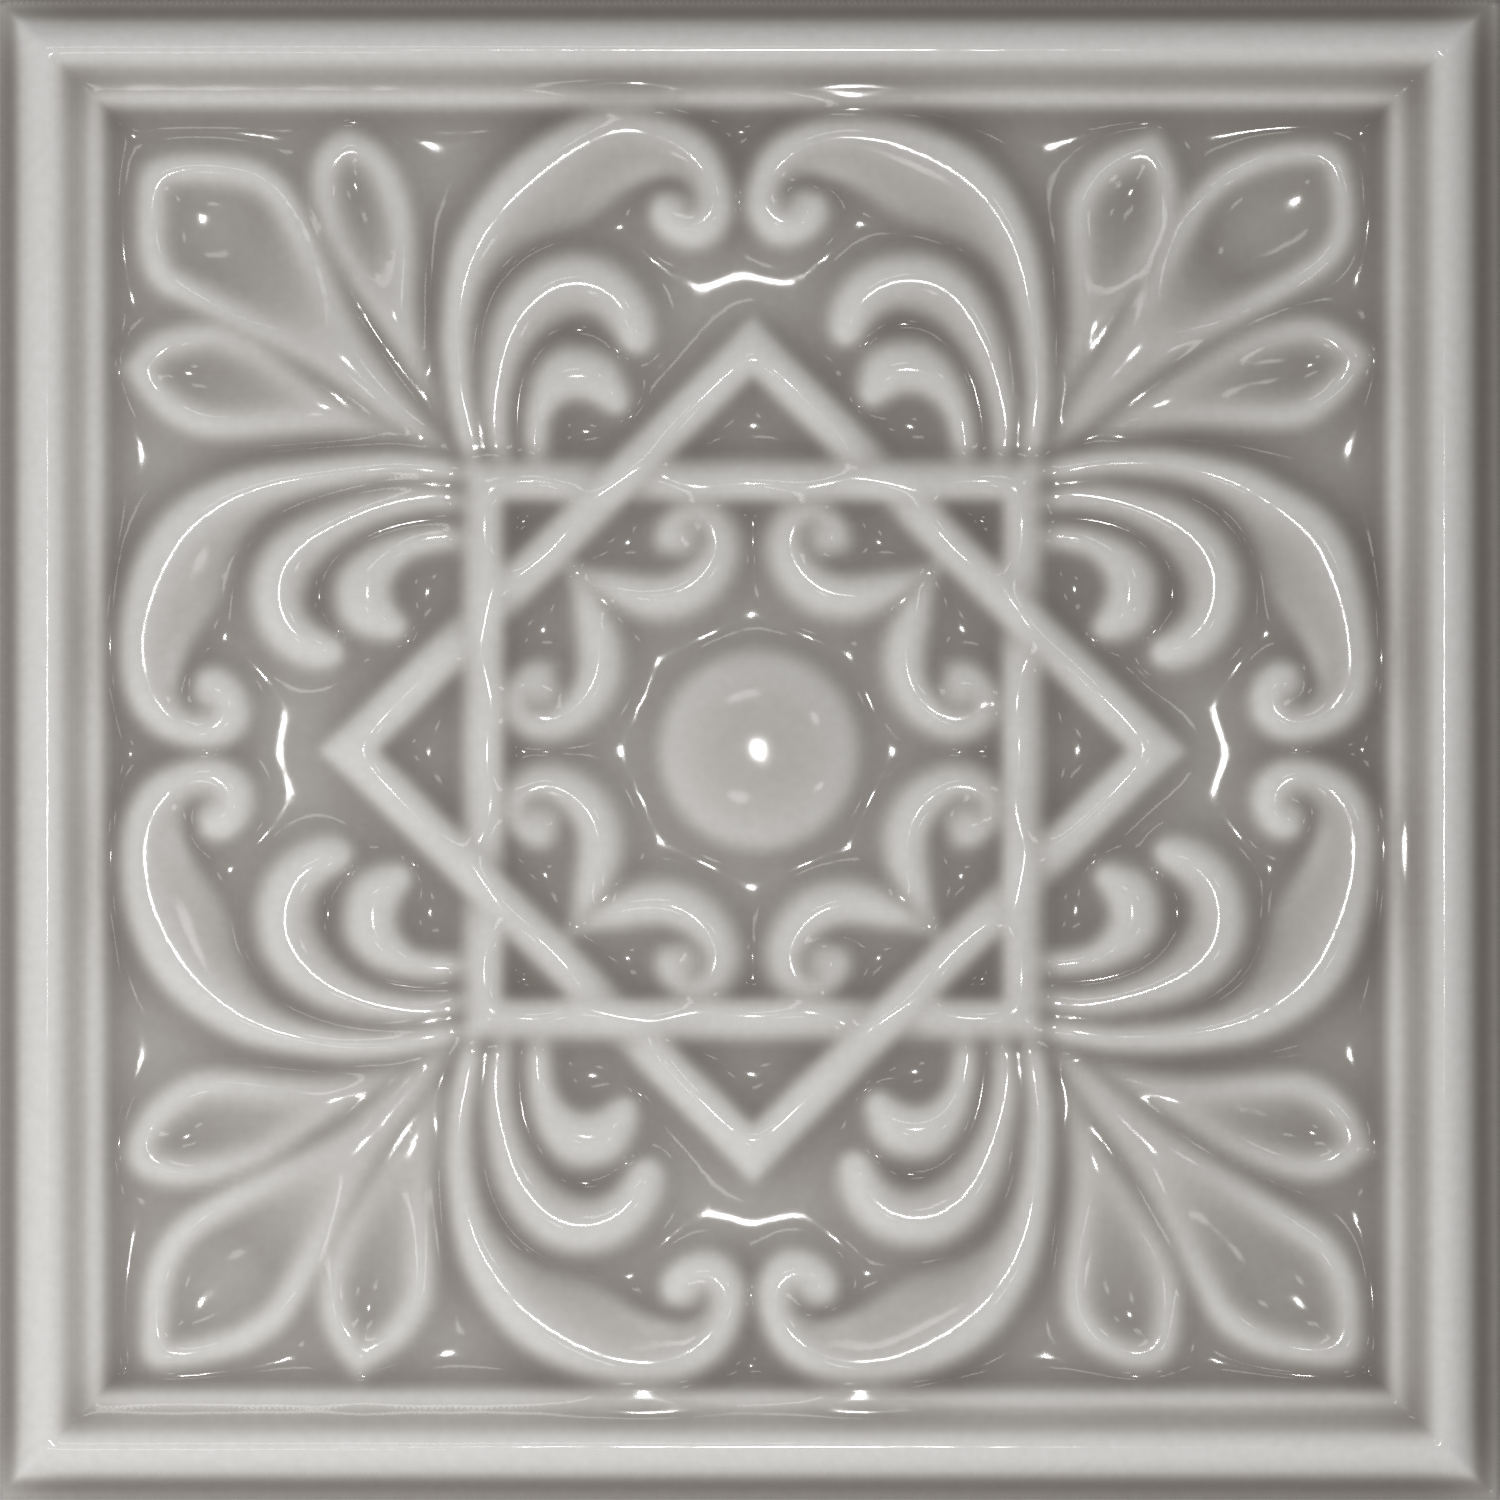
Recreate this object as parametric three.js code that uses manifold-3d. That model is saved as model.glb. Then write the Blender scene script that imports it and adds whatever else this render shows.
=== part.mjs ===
// A square relief wall tile, pressed and fired as one piece: a plate with a keyed back, a low lip,
// a moulded frame, and a sunk ground that carries two interlaced squares round a boss, a leaf palmette
// in each corner and scrolls between them. Millimetres, +Z up, origin at the centre of the back.

import * as THREE from "three";
import { mergeVertices } from "three/addons/utils/BufferGeometryUtils.js";
import Module from "manifold-3d";

const wasm = await Module();
wasm.setup();

// Plate
const tileSide = 150;
const groundHeight = 6.6;
const backArris = 0.6;

// Lip round the frame
const lipWidth = 2.2;
const lipHeight = 6.2;
const lipArris = 0.5;

// Frame moulding: a broad outer round, a cove and an inner bead
const roundWidth = 4.6;
const roundHeight = 10;
const coveWidth = 2.2;
const coveHeight = 8.5;
const beadWidth = 2.1;
const beadHeight = 9;
const mouldingWall = 0.5;
const innerWall = 0.7;

// Interlaced squares, each measured from the centre to the middle of its bar
const uprightReach = 27;
const diamondReach = 28.7;
const barWidth = 3.8;
const barRise = 2.3;
const overRise = 0.3;
const underDip = 0.9;

// Boss
const bossRadius = 10;
const bossRise = 2.1;
const bossShoulder = 1.1;

// Leaves and scrolls
const leafRise = 2.1;
const leafRimInset = 1.5;
const leafDish = 1.1;
const scrollRise = 2.4;
const scrollCrestInset = 1.7;
const innerScrollRise = 2;
const eyeRise = 2.1;

// Key grooves in the back
const keyCount = 6;
const keyWidth = 9;
const keyDepth = 0.7;
const keyMargin = 11;

// How deep an ornament is rooted in the plate, so that the two are one solid
const rootDepth = 1.5;

const frameBand = lipWidth + roundWidth + coveWidth + beadWidth - mouldingWall;
const fieldHalf = tileSide / 2 - frameBand;

// The ornament is drawn in millimetres from the centre, for a field and an upright square of these
// half sizes. place() carries a drawn distance to the field and the square that the tile really has.
const drawnField = 64.4;
const drawnSquare = 27;

function place(drawn) {
  const bay = (fieldHalf - uprightReach) / (drawnField - drawnSquare);
  return drawn <= drawnSquare
    ? (drawn * uprightReach) / drawnSquare
    : uprightReach + (drawn - drawnSquare) * bay;
}

function placePoint([x, y]) {
  return new THREE.Vector2(place(x), place(y));
}

// Solids

function solidFrom(geometry) {
  const bare = geometry.index ? geometry.toNonIndexed() : geometry.clone();
  const joined = mergeVertices(
    new THREE.BufferGeometry().setAttribute("position", bare.getAttribute("position")),
    1e-4,
  );
  const corners = joined.index.array;
  const kept = [];
  for (let i = 0; i < corners.length; i += 3) {
    const [a, b, c] = corners.slice(i, i + 3);
    if (a !== b && b !== c && c !== a) kept.push(a, b, c);
  }
  return new wasm.Manifold(
    new wasm.Mesh({
      numProp: 3,
      vertProperties: joined.attributes.position.array,
      triVerts: new Uint32Array(kept),
    }),
  );
}

function geometryFrom(solid) {
  const mesh = solid.getMesh();
  const geometry = new THREE.BufferGeometry();
  geometry.setAttribute("position", new THREE.BufferAttribute(mesh.vertProperties, 3));
  geometry.setIndex(new THREE.BufferAttribute(mesh.triVerts, 1));
  geometry.computeVertexNormals();
  return geometry;
}

function trianglesToGeometry(points, triangles) {
  const geometry = new THREE.BufferGeometry();
  geometry.setFromPoints(points);
  geometry.setIndex(triangles);
  return geometry;
}

// Joins rings of equally many points into one closed body. A looped loft runs back into its first
// ring, and an open one gets its end rings filled.
function loft(rings, looped = false) {
  const count = rings[0].length;
  const triangles = [];
  const bands = looped ? rings.length : rings.length - 1;
  for (let r = 0; r < bands; r++) {
    const here = r * count;
    const there = ((r + 1) % rings.length) * count;
    for (let i = 0; i < count; i++) {
      const j = (i + 1) % count;
      triangles.push(here + i, here + j, there + i, here + j, there + j, there + i);
    }
  }
  if (!looped) {
    const last = (rings.length - 1) * count;
    for (let i = 1; i < count - 1; i++) {
      triangles.push(0, i + 1, i);
      triangles.push(last, last + i, last + i + 1);
    }
  }
  return outward(trianglesToGeometry(rings.flat(), triangles));
}

// A body whose rings lie one above the other, each a closed outline seen from above.
function stack(outlines) {
  const clockwise = THREE.ShapeUtils.isClockWise(outlines[0]);
  const rings = outlines.map((ring) => (clockwise ? [...ring].reverse() : ring));
  const count = rings[0].length;
  const triangles = [];
  for (let r = 0; r + 1 < rings.length; r++) {
    for (let i = 0; i < count; i++) {
      const j = (i + 1) % count;
      const here = r * count;
      const there = here + count;
      triangles.push(here + i, here + j, there + i, here + j, there + j, there + i);
    }
  }
  const lid = (ring, start, up) => {
    const flat = ring.map((p) => new THREE.Vector2(p.x, p.y));
    for (const [a, b, c] of THREE.ShapeUtils.triangulateShape(flat, [])) {
      triangles.push(start + a, start + (up ? b : c), start + (up ? c : b));
    }
  };
  lid(rings[0], 0, false);
  lid(rings.at(-1), (rings.length - 1) * count, true);
  return outward(trianglesToGeometry(rings.flat(), triangles));
}

// The same body with its faces pointing out, whichever way round its rings ran.
function outward(geometry) {
  const solid = solidFrom(geometry);
  if (solid.volume() > 0) return solid;
  const index = geometry.index.array;
  for (let i = 0; i < index.length; i += 3) {
    [index[i + 1], index[i + 2]] = [index[i + 2], index[i + 1]];
  }
  return solidFrom(geometry);
}

// Plate and frame: one profile, turned in four steps, gives square rings with mitred corners.
function plate() {
  const edge = tileSide / 2;
  const round = lipWidth + roundWidth;
  const cove = round + coveWidth / 2;
  const bead = round + coveWidth + beadWidth / 2;
  const profile = [
    [edge, 0],
    [backArris, 0],
    [0, backArris],
    [0, lipHeight - lipArris],
    [lipArris, lipHeight],
    [lipWidth - mouldingWall, lipHeight],
    [lipWidth, roundHeight - 1.5],
    [lipWidth + 0.5, roundHeight - 0.6],
    [lipWidth + 1.3, roundHeight - 0.15],
    [lipWidth + roundWidth / 2, roundHeight],
    [round - 1.1, roundHeight - 0.3],
    [round - 0.4, roundHeight - 0.8],
    [round + 0.2, (roundHeight + coveHeight) / 2 - 0.2],
    [cove - 0.5, coveHeight + 0.1],
    [cove, coveHeight],
    [cove + 0.6, coveHeight + 0.15],
    [bead - 0.7, beadHeight - 0.1],
    [bead, beadHeight],
    [bead + 0.6, beadHeight - 0.25],
    [frameBand - innerWall * 0.4, groundHeight + 1],
    [frameBand, groundHeight],
    [edge, groundHeight],
  ];
  const points = profile.map(([inset, z]) => new THREE.Vector2((edge - inset) * Math.SQRT2, z));
  const geometry = new THREE.LatheGeometry(points, 4, Math.PI / 4);
  geometry.rotateX(Math.PI / 2);
  return outward(mergedGeometry(geometry));
}

function mergedGeometry(geometry) {
  geometry.deleteAttribute("normal");
  geometry.deleteAttribute("uv");
  return mergeVertices(geometry, 1e-4);
}

// Boss: a low dome with a rounded shoulder.
function boss() {
  const top = groundHeight + bossRise;
  const crownRadius = bossRadius - bossShoulder;
  const profile = [
    [0, groundHeight - rootDepth],
    [bossRadius, groundHeight - rootDepth],
    [bossRadius, groundHeight],
    [bossRadius - bossShoulder * 0.35, groundHeight + bossRise * 0.45],
    [crownRadius, groundHeight + bossRise * 0.66],
    [crownRadius * 0.72, groundHeight + bossRise * 0.86],
    [crownRadius * 0.4, groundHeight + bossRise * 0.96],
    [0, top],
  ];
  const points = profile.map(([r, z]) => new THREE.Vector2(r, z));
  const geometry = new THREE.LatheGeometry(points, 32);
  geometry.rotateX(Math.PI / 2);
  return outward(mergedGeometry(geometry));
}

// Interlaced squares. Going round clockwise, each bar dips under the first bar that it meets
// on a side and rises over the second.
function band(reach, crossing, turn) {
  const half = barWidth / 2;
  const crest = (along) => {
    const near = (at) => Math.max(0, 1 - Math.abs(along - at) / (barWidth * 1.1));
    return barRise + overRise * near(crossing) - underDip * near(-crossing);
  };
  const steps = [-1, 0, 1].map((k) => k * barWidth * 0.55);
  const stops = [
    ...steps.map((step) => -crossing + step),
    0,
    ...steps.map((step) => crossing + step),
  ];
  const rings = [];
  for (let side = 0; side < 4; side++) {
    const angle = turn - (side * Math.PI) / 2;
    const outwards = new THREE.Vector2(-Math.sin(angle), Math.cos(angle));
    const alongside = new THREE.Vector2(Math.cos(angle), Math.sin(angle));
    const section = (along, mitre) => {
      const height = crest(along);
      const across = [
        [half, -rootDepth],
        [half, 0],
        [half * 0.72, height * 0.66],
        [half * 0.28, height * 0.97],
        [-half * 0.28, height * 0.97],
        [-half * 0.72, height * 0.66],
        [-half, 0],
        [-half, -rootDepth],
      ];
      return across.map(([offset, z]) => {
        const away = reach + offset;
        const slide = mitre ? -away : along;
        const x = outwards.x * away + alongside.x * slide;
        const y = outwards.y * away + alongside.y * slide;
        return new THREE.Vector3(x, y, groundHeight + z);
      });
    };
    rings.push(section(-reach, true));
    for (const along of stops) rings.push(section(along, false));
  }
  return loft(rings, true);
}

// Scrolls. Each station gives the outer and the inner edge of the ribbon, as drawn, and how high
// its crest stands, as a share of the scroll's rise.
function ribbon(stations, rise, bellyShare) {
  const rings = stations.map(([ox, oy, ix, iy, share]) => {
    const outer = placePoint([ox, oy]);
    const inner = placePoint([ix, iy]);
    const width = outer.distanceTo(inner);
    const crest = Math.min(scrollCrestInset, width / 2);
    const rest = width - crest;
    const height = rise * share;
    const belly = THREE.MathUtils.lerp(1, bellyShare, Math.min(1, rest / (2 * crest) - 0.5));
    const across = [
      [0, -rootDepth],
      [0, 0],
      [crest * 0.42, height * 0.7],
      [crest, height],
      [crest + rest * 0.35, height * belly],
      [crest + rest * 0.72, height * belly * 0.8],
      [width, 0],
      [width, -rootDepth],
    ];
    return across.map(([offset, z]) => {
      const p = outer.clone().lerp(inner, offset / width);
      return new THREE.Vector3(p.x, p.y, groundHeight + z);
    });
  });
  return loft(rings);
}

// The round eye that a scroll winds into.
function eye(centre, radius, rise) {
  const at = placePoint(centre);
  const profile = [
    [0, -rootDepth],
    [radius, -rootDepth],
    [radius, 0],
    [radius * 0.8, rise * 0.7],
    [radius * 0.35, rise * 0.97],
    [0, rise],
  ];
  const geometry = new THREE.LatheGeometry(
    profile.map(([r, z]) => new THREE.Vector2(r, z)),
    12,
  );
  geometry.rotateX(Math.PI / 2);
  geometry.translate(at.x, at.y, groundHeight);
  return outward(mergedGeometry(geometry));
}

const outerScroll = [
  [28.2, 29.5, 26.8, 29.7, 0.5],
  [29.7, 34.5, 27.3, 34.8, 0.75],
  [30.2, 40, 27.0, 40.2, 0.95],
  [29.9, 45, 26.3, 44.2, 1],
  [28.6, 50, 24.6, 47.9, 1],
  [26.4, 54.6, 21.8, 50.4, 1],
  [23.2, 58.4, 18.8, 52.2, 1],
  [19.2, 61.4, 15.6, 53.6, 1],
  [14.6, 63.0, 12.8, 55.4, 1],
  [10.0, 63.4, 10.2, 57.0, 1],
  [6.2, 62.5, 7.6, 57.3, 1],
  [3.2, 60.4, 5.6, 56.6, 1],
  [1.3, 57.4, 4.7, 55.6, 1],
  [0.6, 54.4, 4.5, 54.4, 1],
  [1.1, 51.9, 5.0, 53.4, 0.95],
  [2.9, 50.2, 5.6, 53.0, 0.9],
];
const outerEye = [6.3, 53.1];
const outerEyeRadius = 3;

const middleScroll = [
  [25.4, 30, 23.6, 30, 0.5],
  [25.9, 35, 23.8, 34.8, 0.7],
  [25.9, 39, 23.2, 38, 0.9],
  [25.0, 43, 21.9, 41, 1],
  [23.0, 46.9, 20.2, 42.9, 1],
  [19.8, 49.6, 18.2, 43.9, 1],
  [16.0, 50.5, 16.2, 44.1, 1],
  [12.4, 49.7, 14.4, 43.7, 1],
  [9.8, 47.5, 13.2, 42.9, 1],
  [8.5, 44.6, 12.3, 41.8, 0.95],
  [8.7, 42.0, 11.2, 40.9, 0.8],
  [9.6, 40.9, 10.3, 40.7, 0.5],
];

const smallScroll = [
  [22.3, 29.5, 20.7, 29.5, 0.5],
  [22.7, 33, 20.5, 32.4, 0.7],
  [22.4, 36.2, 19.9, 34.3, 0.9],
  [21.2, 39.0, 18.7, 35.7, 1],
  [18.7, 41.0, 17.3, 36.4, 1],
  [15.8, 41.4, 15.8, 36.4, 1],
  [13.2, 40.5, 14.8, 36.1, 1],
  [11.5, 38.5, 14.0, 35.6, 1],
  [11.1, 36.2, 13.3, 34.9, 0.85],
  [11.8, 34.8, 12.6, 34.5, 0.5],
];

const innerScroll = [
  [17.4, 16.4, 18.0, 17.4, 0.4],
  [15.4, 14.6, 15.8, 17.6, 0.8],
  [13, 13.2, 13.2, 17.3, 1],
  [10, 12.6, 10.4, 17.1, 1],
  [7.2, 12.9, 8.2, 17.4, 1],
  [4.6, 14.4, 6.4, 18.1, 1],
  [2.6, 16.6, 5.2, 19.2, 1],
  [1.2, 19.2, 4.8, 20.4, 1],
  [0.8, 21.8, 4.9, 21.6, 1],
  [1.8, 23.8, 5.6, 22.4, 0.9],
  [4.2, 24.9, 6.4, 22.8, 0.8],
];
const innerEye = [7.2, 21.5];
const innerEyeRadius = 2.4;

// Leaves: a closed outline, and the axis that its sides fall in to, from root to head. The rim
// stands round the outline, and the dish inside it deepens towards the head.
function leaf(outline, [root, head], rise) {
  const from = placePoint(root);
  const to = placePoint(head);
  const axis = new THREE.Line3(
    new THREE.Vector3(from.x, from.y, 0),
    new THREE.Vector3(to.x, to.y, 0),
  );
  const length = axis.distance();
  const steps = [
    { inset: 0, level: () => -rootDepth },
    { inset: 0, level: () => 0 },
    { inset: leafRimInset * 0.4, level: (s) => rise * (0.35 + 0.35 * s) },
    { inset: leafRimInset, level: (s) => rise * (0.6 + 0.4 * s) },
    { inset: leafRimInset * 1.9, level: (s) => rise * (0.55 + 0.4 * s) - leafDish * s * s },
  ];
  const rings = steps.map(({ inset, level }, k) =>
    outline.map((drawn) => {
      const p = placePoint(drawn);
      const edge = new THREE.Vector3(p.x, p.y, 0);
      const near = axis.closestPointToPoint(edge, true, new THREE.Vector3());
      const reach = edge.distanceTo(near);
      const share = Math.min(inset / reach, 0.24 * (k - 1));
      const s = near.distanceTo(axis.start) / length;
      edge.lerp(near, Math.max(0, share));
      edge.z = groundHeight + level(s);
      return edge;
    }),
  );
  return stack(rings);
}

const sideLeaf = [
  [28.4, 30.2],
  [30.2, 35],
  [31.1, 40],
  [31.2, 45],
  [31.1, 50],
  [31.5, 54.2],
  [32.7, 57.7],
  [34.8, 60.3],
  [37.2, 61.7],
  [39.4, 62.2],
  [41.3, 61.2],
  [42.7, 58.8],
  [43.0, 55.6],
  [42.2, 52.2],
  [40.6, 48.8],
  [38.4, 45],
  [35.2, 40.6],
  [31.4, 35.6],
];
const sideLeafAxis = [
  [29, 31],
  [38.2, 57.6],
];

const cornerLeafHalf = [
  [29.4, 30.4],
  [32.2, 35.4],
  [35.7, 40.2],
  [39, 44.6],
  [41.6, 48.6],
  [44, 52.4],
  [46.2, 56],
  [48.8, 58.8],
  [52, 60.4],
  [55.4, 60.9],
  [58.6, 60.6],
];
const cornerLeafTip = [60.4, 60.4];
const cornerLeaf = [
  ...cornerLeafHalf,
  cornerLeafTip,
  ...cornerLeafHalf.map(([x, y]) => [y, x]).reverse(),
];
const cornerLeafAxis = [
  [30.4, 30.4],
  [55, 55],
];

// Key grooves across the back, closed at both ends.
function keys() {
  const span = tileSide - 2 * keyMargin;
  const pitch = span / keyCount;
  const grooves = [];
  for (let k = 0; k < keyCount; k++) {
    const groove = new THREE.BoxGeometry(keyWidth, span, keyDepth * 2);
    groove.translate((k + 0.5 - keyCount / 2) * pitch, 0, 0);
    grooves.push(solidFrom(groove));
  }
  return grooves;
}

// The four quarters of the pattern, each with its twin mirrored in the diagonal.
function turned(solid) {
  return [0, 90, 180, 270].map((angle) => solid.rotate([0, 0, angle]));
}

function withTwins(solid) {
  const twin = solid.mirror([1, -1, 0]);
  return [...turned(solid), ...turned(twin)];
}

const ornaments = [
  boss(),
  band(uprightReach, diamondReach * Math.SQRT2 - uprightReach, 0),
  band(diamondReach, uprightReach * Math.SQRT2 - diamondReach, Math.PI / 4),
  ...turned(leaf(cornerLeaf, cornerLeafAxis, leafRise)),
  ...withTwins(leaf(sideLeaf, sideLeafAxis, leafRise)),
  ...withTwins(ribbon(outerScroll, scrollRise, 0.62)),
  ...withTwins(eye(outerEye, outerEyeRadius, eyeRise)),
  ...withTwins(ribbon(middleScroll, scrollRise, 0.75)),
  ...withTwins(ribbon(smallScroll, scrollRise * 0.9, 0.85)),
  ...withTwins(ribbon(innerScroll, innerScrollRise, 0.8)),
  ...withTwins(eye(innerEye, innerEyeRadius, innerScrollRise)),
];

let body = plate();
for (const ornament of ornaments) body = body.add(ornament);
for (const groove of keys()) body = body.subtract(groove);

const glaze = new THREE.MeshStandardMaterial({
  name: "grey_glaze",
  color: 0xb1aea9,
  roughness: 0.12,
  metalness: 0,
});
const tile = new THREE.Mesh(geometryFrom(body), glaze);
tile.name = "tile";

const part = new THREE.Group();
part.add(tile);

export default part;
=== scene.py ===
# %% [markdown]
# # A glazed relief tile
# The real tile is one pressed slab of pale clay under one coat of grey glaze. Two things make its
# looks: the relief, and the glaze, which melts in the kiln, thins on every ridge and pools in every
# hollow. This lesson draws the relief as a height map, lets a glaze settle on it, and turns the result
# into one closed mesh that stands where the CAD solid stands.

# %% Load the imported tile
import math

import bmesh
import bpy
import numpy as np
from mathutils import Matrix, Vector


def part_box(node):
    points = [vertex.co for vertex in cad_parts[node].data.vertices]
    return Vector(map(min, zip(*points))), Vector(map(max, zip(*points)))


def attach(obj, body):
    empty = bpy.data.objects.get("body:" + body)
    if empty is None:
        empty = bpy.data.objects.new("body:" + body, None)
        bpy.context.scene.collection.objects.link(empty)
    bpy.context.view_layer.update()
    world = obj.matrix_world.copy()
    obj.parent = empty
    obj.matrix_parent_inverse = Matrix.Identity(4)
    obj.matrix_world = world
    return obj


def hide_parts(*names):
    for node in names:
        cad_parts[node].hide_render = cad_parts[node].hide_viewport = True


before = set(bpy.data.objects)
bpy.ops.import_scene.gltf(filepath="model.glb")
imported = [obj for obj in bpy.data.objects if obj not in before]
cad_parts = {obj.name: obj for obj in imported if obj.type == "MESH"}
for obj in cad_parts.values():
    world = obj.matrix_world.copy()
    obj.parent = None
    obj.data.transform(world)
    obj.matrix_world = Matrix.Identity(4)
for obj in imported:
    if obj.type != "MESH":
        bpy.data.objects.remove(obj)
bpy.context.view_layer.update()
MM = 0.001
tile_low, tile_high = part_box("tile")
tile_side = (tile_high[0] - tile_low[0]) / MM
tile_top = tile_high[2] / MM
half_side = tile_side / 2
print("CAD tile:", round(tile_side, 2), "mm square,", round(tile_top, 2), "mm high")

# %% [markdown]
# ## The drawing board
# A height map is a square grid of numbers, one height for each place on the tile. Its step is 0.15 mm,
# finer than the mesh will be, so that the glaze can be worked out well before any vertex is made. The
# arrays x and y hold each node's place in millimetres from the tile's centre, with +y at the top. The
# slopes of the forms are made with two rises: a soft step, and a shoulder that is quicker at its foot.

# %% Lay out the grid
step = 0.15
nodes = int(round(tile_side / step)) + 1
line = np.linspace(-half_side, half_side, nodes)
x, y = np.meshgrid(line, line)


def ease(t):
    """A soft step from 0 to 1."""
    t = np.clip(t, 0, 1)
    return t * t * (3 - 2 * t)


shoulder_spring = 0.45


def shoulder(t):
    """A rounded rise from 0 to 1, quick at its foot and soft at its crest."""
    t = np.clip(t, 0, 1)
    return shoulder_spring * np.sin(math.pi / 2 * t) + (1 - shoulder_spring) * ease(t)


print("height map:", nodes, "x", nodes, "nodes")

# %% [markdown]
# ## Curves and distances
# The carver's outlines are smooth curves through a few chosen points. Every form below is shaped by
# how far a place lies from such a curve: a rim stands at a fixed distance inside a leaf's outline, and
# a scroll falls away from its back. So the helpers are a smooth curve, a distance and an inside test.
# A blur is needed as well, because clay and glaze both round off whatever is drawn sharply.

# %% A smooth curve through points


def curve(points, steps=5, closed=False, corners=()):
    """A smooth line through the points. At a corner it turns sharply."""
    points = np.array(points, float)
    count = len(points)
    made = []
    for i in range(count if closed else count - 1):
        here, there = points[i], points[(i + 1) % count]
        before = points[i - 1] if closed or i > 0 else 2 * here - there
        after = points[(i + 2) % count] if closed or i + 2 < count else 2 * there - here
        if i in corners:
            before = 2 * here - there
        if (i + 1) % count in corners:
            after = 2 * there - here
        for t in np.arange(steps) / steps:
            bend = 2 * before - 5 * here + 4 * there - after
            twist = 3 * here - before - 3 * there + after
            made.append(here + ((there - before) * t + bend * t**2 + twist * t**3) / 2)
    if not closed:
        made.append(points[-1])
    return np.array(made)


arch = curve([(0, 0), (2, 3), (5, 3), (7, 0)])
print("an arch through 4 points is drawn with", len(arch), "points")

# %% Distance, inside and blur


def distance(px, py, outline, closed=False):
    """How far each place lies from a line of short straight pieces."""
    nearest = np.full(px.shape, np.inf)
    ends = np.vstack([outline, outline[:1]]) if closed else outline
    for (ax, ay), (bx, by) in zip(ends[:-1], ends[1:]):
        dx, dy = bx - ax, by - ay
        length = dx * dx + dy * dy
        if length == 0:
            continue
        t = np.clip(((px - ax) * dx + (py - ay) * dy) / length, 0, 1)
        np.minimum(nearest, (px - ax - t * dx) ** 2 + (py - ay - t * dy) ** 2, out=nearest)
    return np.sqrt(nearest)


def inside(px, py, outline):
    """True where a ray to the right crosses the outline an odd number of times."""
    odd = np.zeros(px.shape, bool)
    for (ax, ay), (bx, by) in zip(outline, np.roll(outline, -1, axis=0)):
        if ay == by:
            continue
        odd ^= ((ay > py) != (by > py)) & (px < (bx - ax) * (py - ay) / (by - ay) + ax)
    return odd


def soften(field, reach):
    """A Gaussian blur of the whole map, reach in millimetres, as a Fourier product along each axis."""
    sigma = reach / step
    margin = int(4 * sigma) + 1
    padded = np.pad(field, margin, mode="edge")
    size = 1 << int(np.ceil(np.log2(padded.shape[0])))
    waves = np.fft.rfftfreq(size)
    fade = np.exp(-2 * (math.pi * sigma * waves) ** 2)
    for _ in range(2):
        padded = np.fft.irfft(np.fft.rfft(padded, size, axis=0) * fade[:, None], size, axis=0)
        padded = padded[: field.shape[0] + 2 * margin].T
    return padded[margin:-margin, margin:-margin]


corner_to_arch = float(distance(x[:1, :1], y[:1, :1], arch)[0, 0])
print("from the tile's corner to that arch:", round(corner_to_arch, 1), "mm")

# %% [markdown]
# ## The moulded frame
# Seen from its edge the frame is one profile: a low lip, a broad round, a cove and a bead, then the
# wall down to the sunk ground. The profile is a list of places (how far in from the tile's edge, how
# high), and every node of the map looks itself up by its distance from the nearest edge. The corners
# mitre by themselves, as they do on the real tile. The real die sat a little off centre, so the lip is
# narrower on the left than on the right, and a little narrower at the top than at the bottom.

# %% Carve the frame
ground = 6.4
frame_profile = [
    (0.0, 6.6), (1.2, 5.9), (1.7, 6.1), (2.0, 6.9), (2.5, 8.4), (3.2, 9.0), (4.2, 9.75), (5.2, 9.95),
    (5.9, 9.75), (6.5, 9.05), (7.2, 8.15), (8.1, 7.8), (8.85, 7.85), (9.5, 8.5), (10.1, 9.15),
    (10.6, 8.4), (11.0, 7.2), (11.35, 6.7), (11.7, ground),
]
frame_shift_x = -0.42
frame_shift_y = 0.15
inset = half_side - np.maximum(np.abs(x - frame_shift_x), np.abs(y - frame_shift_y))
profile_step = 0.05
profile_margin = 10
profile_depth = 25
inset_line = np.arange(-profile_margin, profile_depth, profile_step)
profile = np.interp(inset_line, *zip(*frame_profile))


def moulding(reach):
    """The frame with its profile rounded by a blur. The mitres stay sharp."""
    offsets = np.arange(-profile_margin, profile_margin + profile_step / 5, profile_step)
    bell = np.exp(-0.5 * (offsets / reach) ** 2)
    padded = np.pad(profile, len(bell) // 2, mode="edge")
    rounded = np.convolve(padded, bell / bell.sum(), "valid")
    return np.interp(inset, inset_line, rounded)


press_round = 0.1
frame_relief = moulding(press_round)
print("frame: crest at", round(frame_relief.max(), 2), "mm, ground at", ground, "mm")

# %% [markdown]
# ## The interlaced squares
# Two square bands cross each other eight times. Going round clockwise, each side first dives under the
# other band and then rides over it. A square band is easy as a height map: the distance to its
# middle line is a maximum of two absolute values. Its section is a flattened round, and the upright
# band's crest leans towards the middle of the tile, because glaze and clay both slump that way. The
# squares' own middle lies a little to the right of the tile's.

# %% Weave the squares
centre = np.array([0.3, 0.0])
upright_reach = 27.0
diamond_reach = 28.5
band_half = 2.3
band_rise = 2.3
band_flatness = 2.5
crossing_reach = 3.0
under_drop = 1.3
over_lift = 0.3
upright_skew = 0.25


def band(px, py, reach, crossing, skew=0):
    """A square ring that dips before the middle of each side and rises after it."""
    out = np.maximum(np.abs(px), np.abs(py)) - reach
    side = [py >= np.abs(px), px > np.abs(py), -py >= np.abs(px)]
    along = np.select(side, [px, -py, -px], py)
    dip = under_drop * np.exp(-(((along + crossing) / crossing_reach) ** 2))
    lift = over_lift * np.exp(-(((along - crossing) / crossing_reach) ** 2))
    across = out / band_half
    across = across + skew * (1 - across**2)
    section = np.sqrt(np.clip(1 - np.abs(across) ** band_flatness, 0, 1))
    return (band_rise - dip + lift) * section * (np.abs(out) < band_half)


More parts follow.
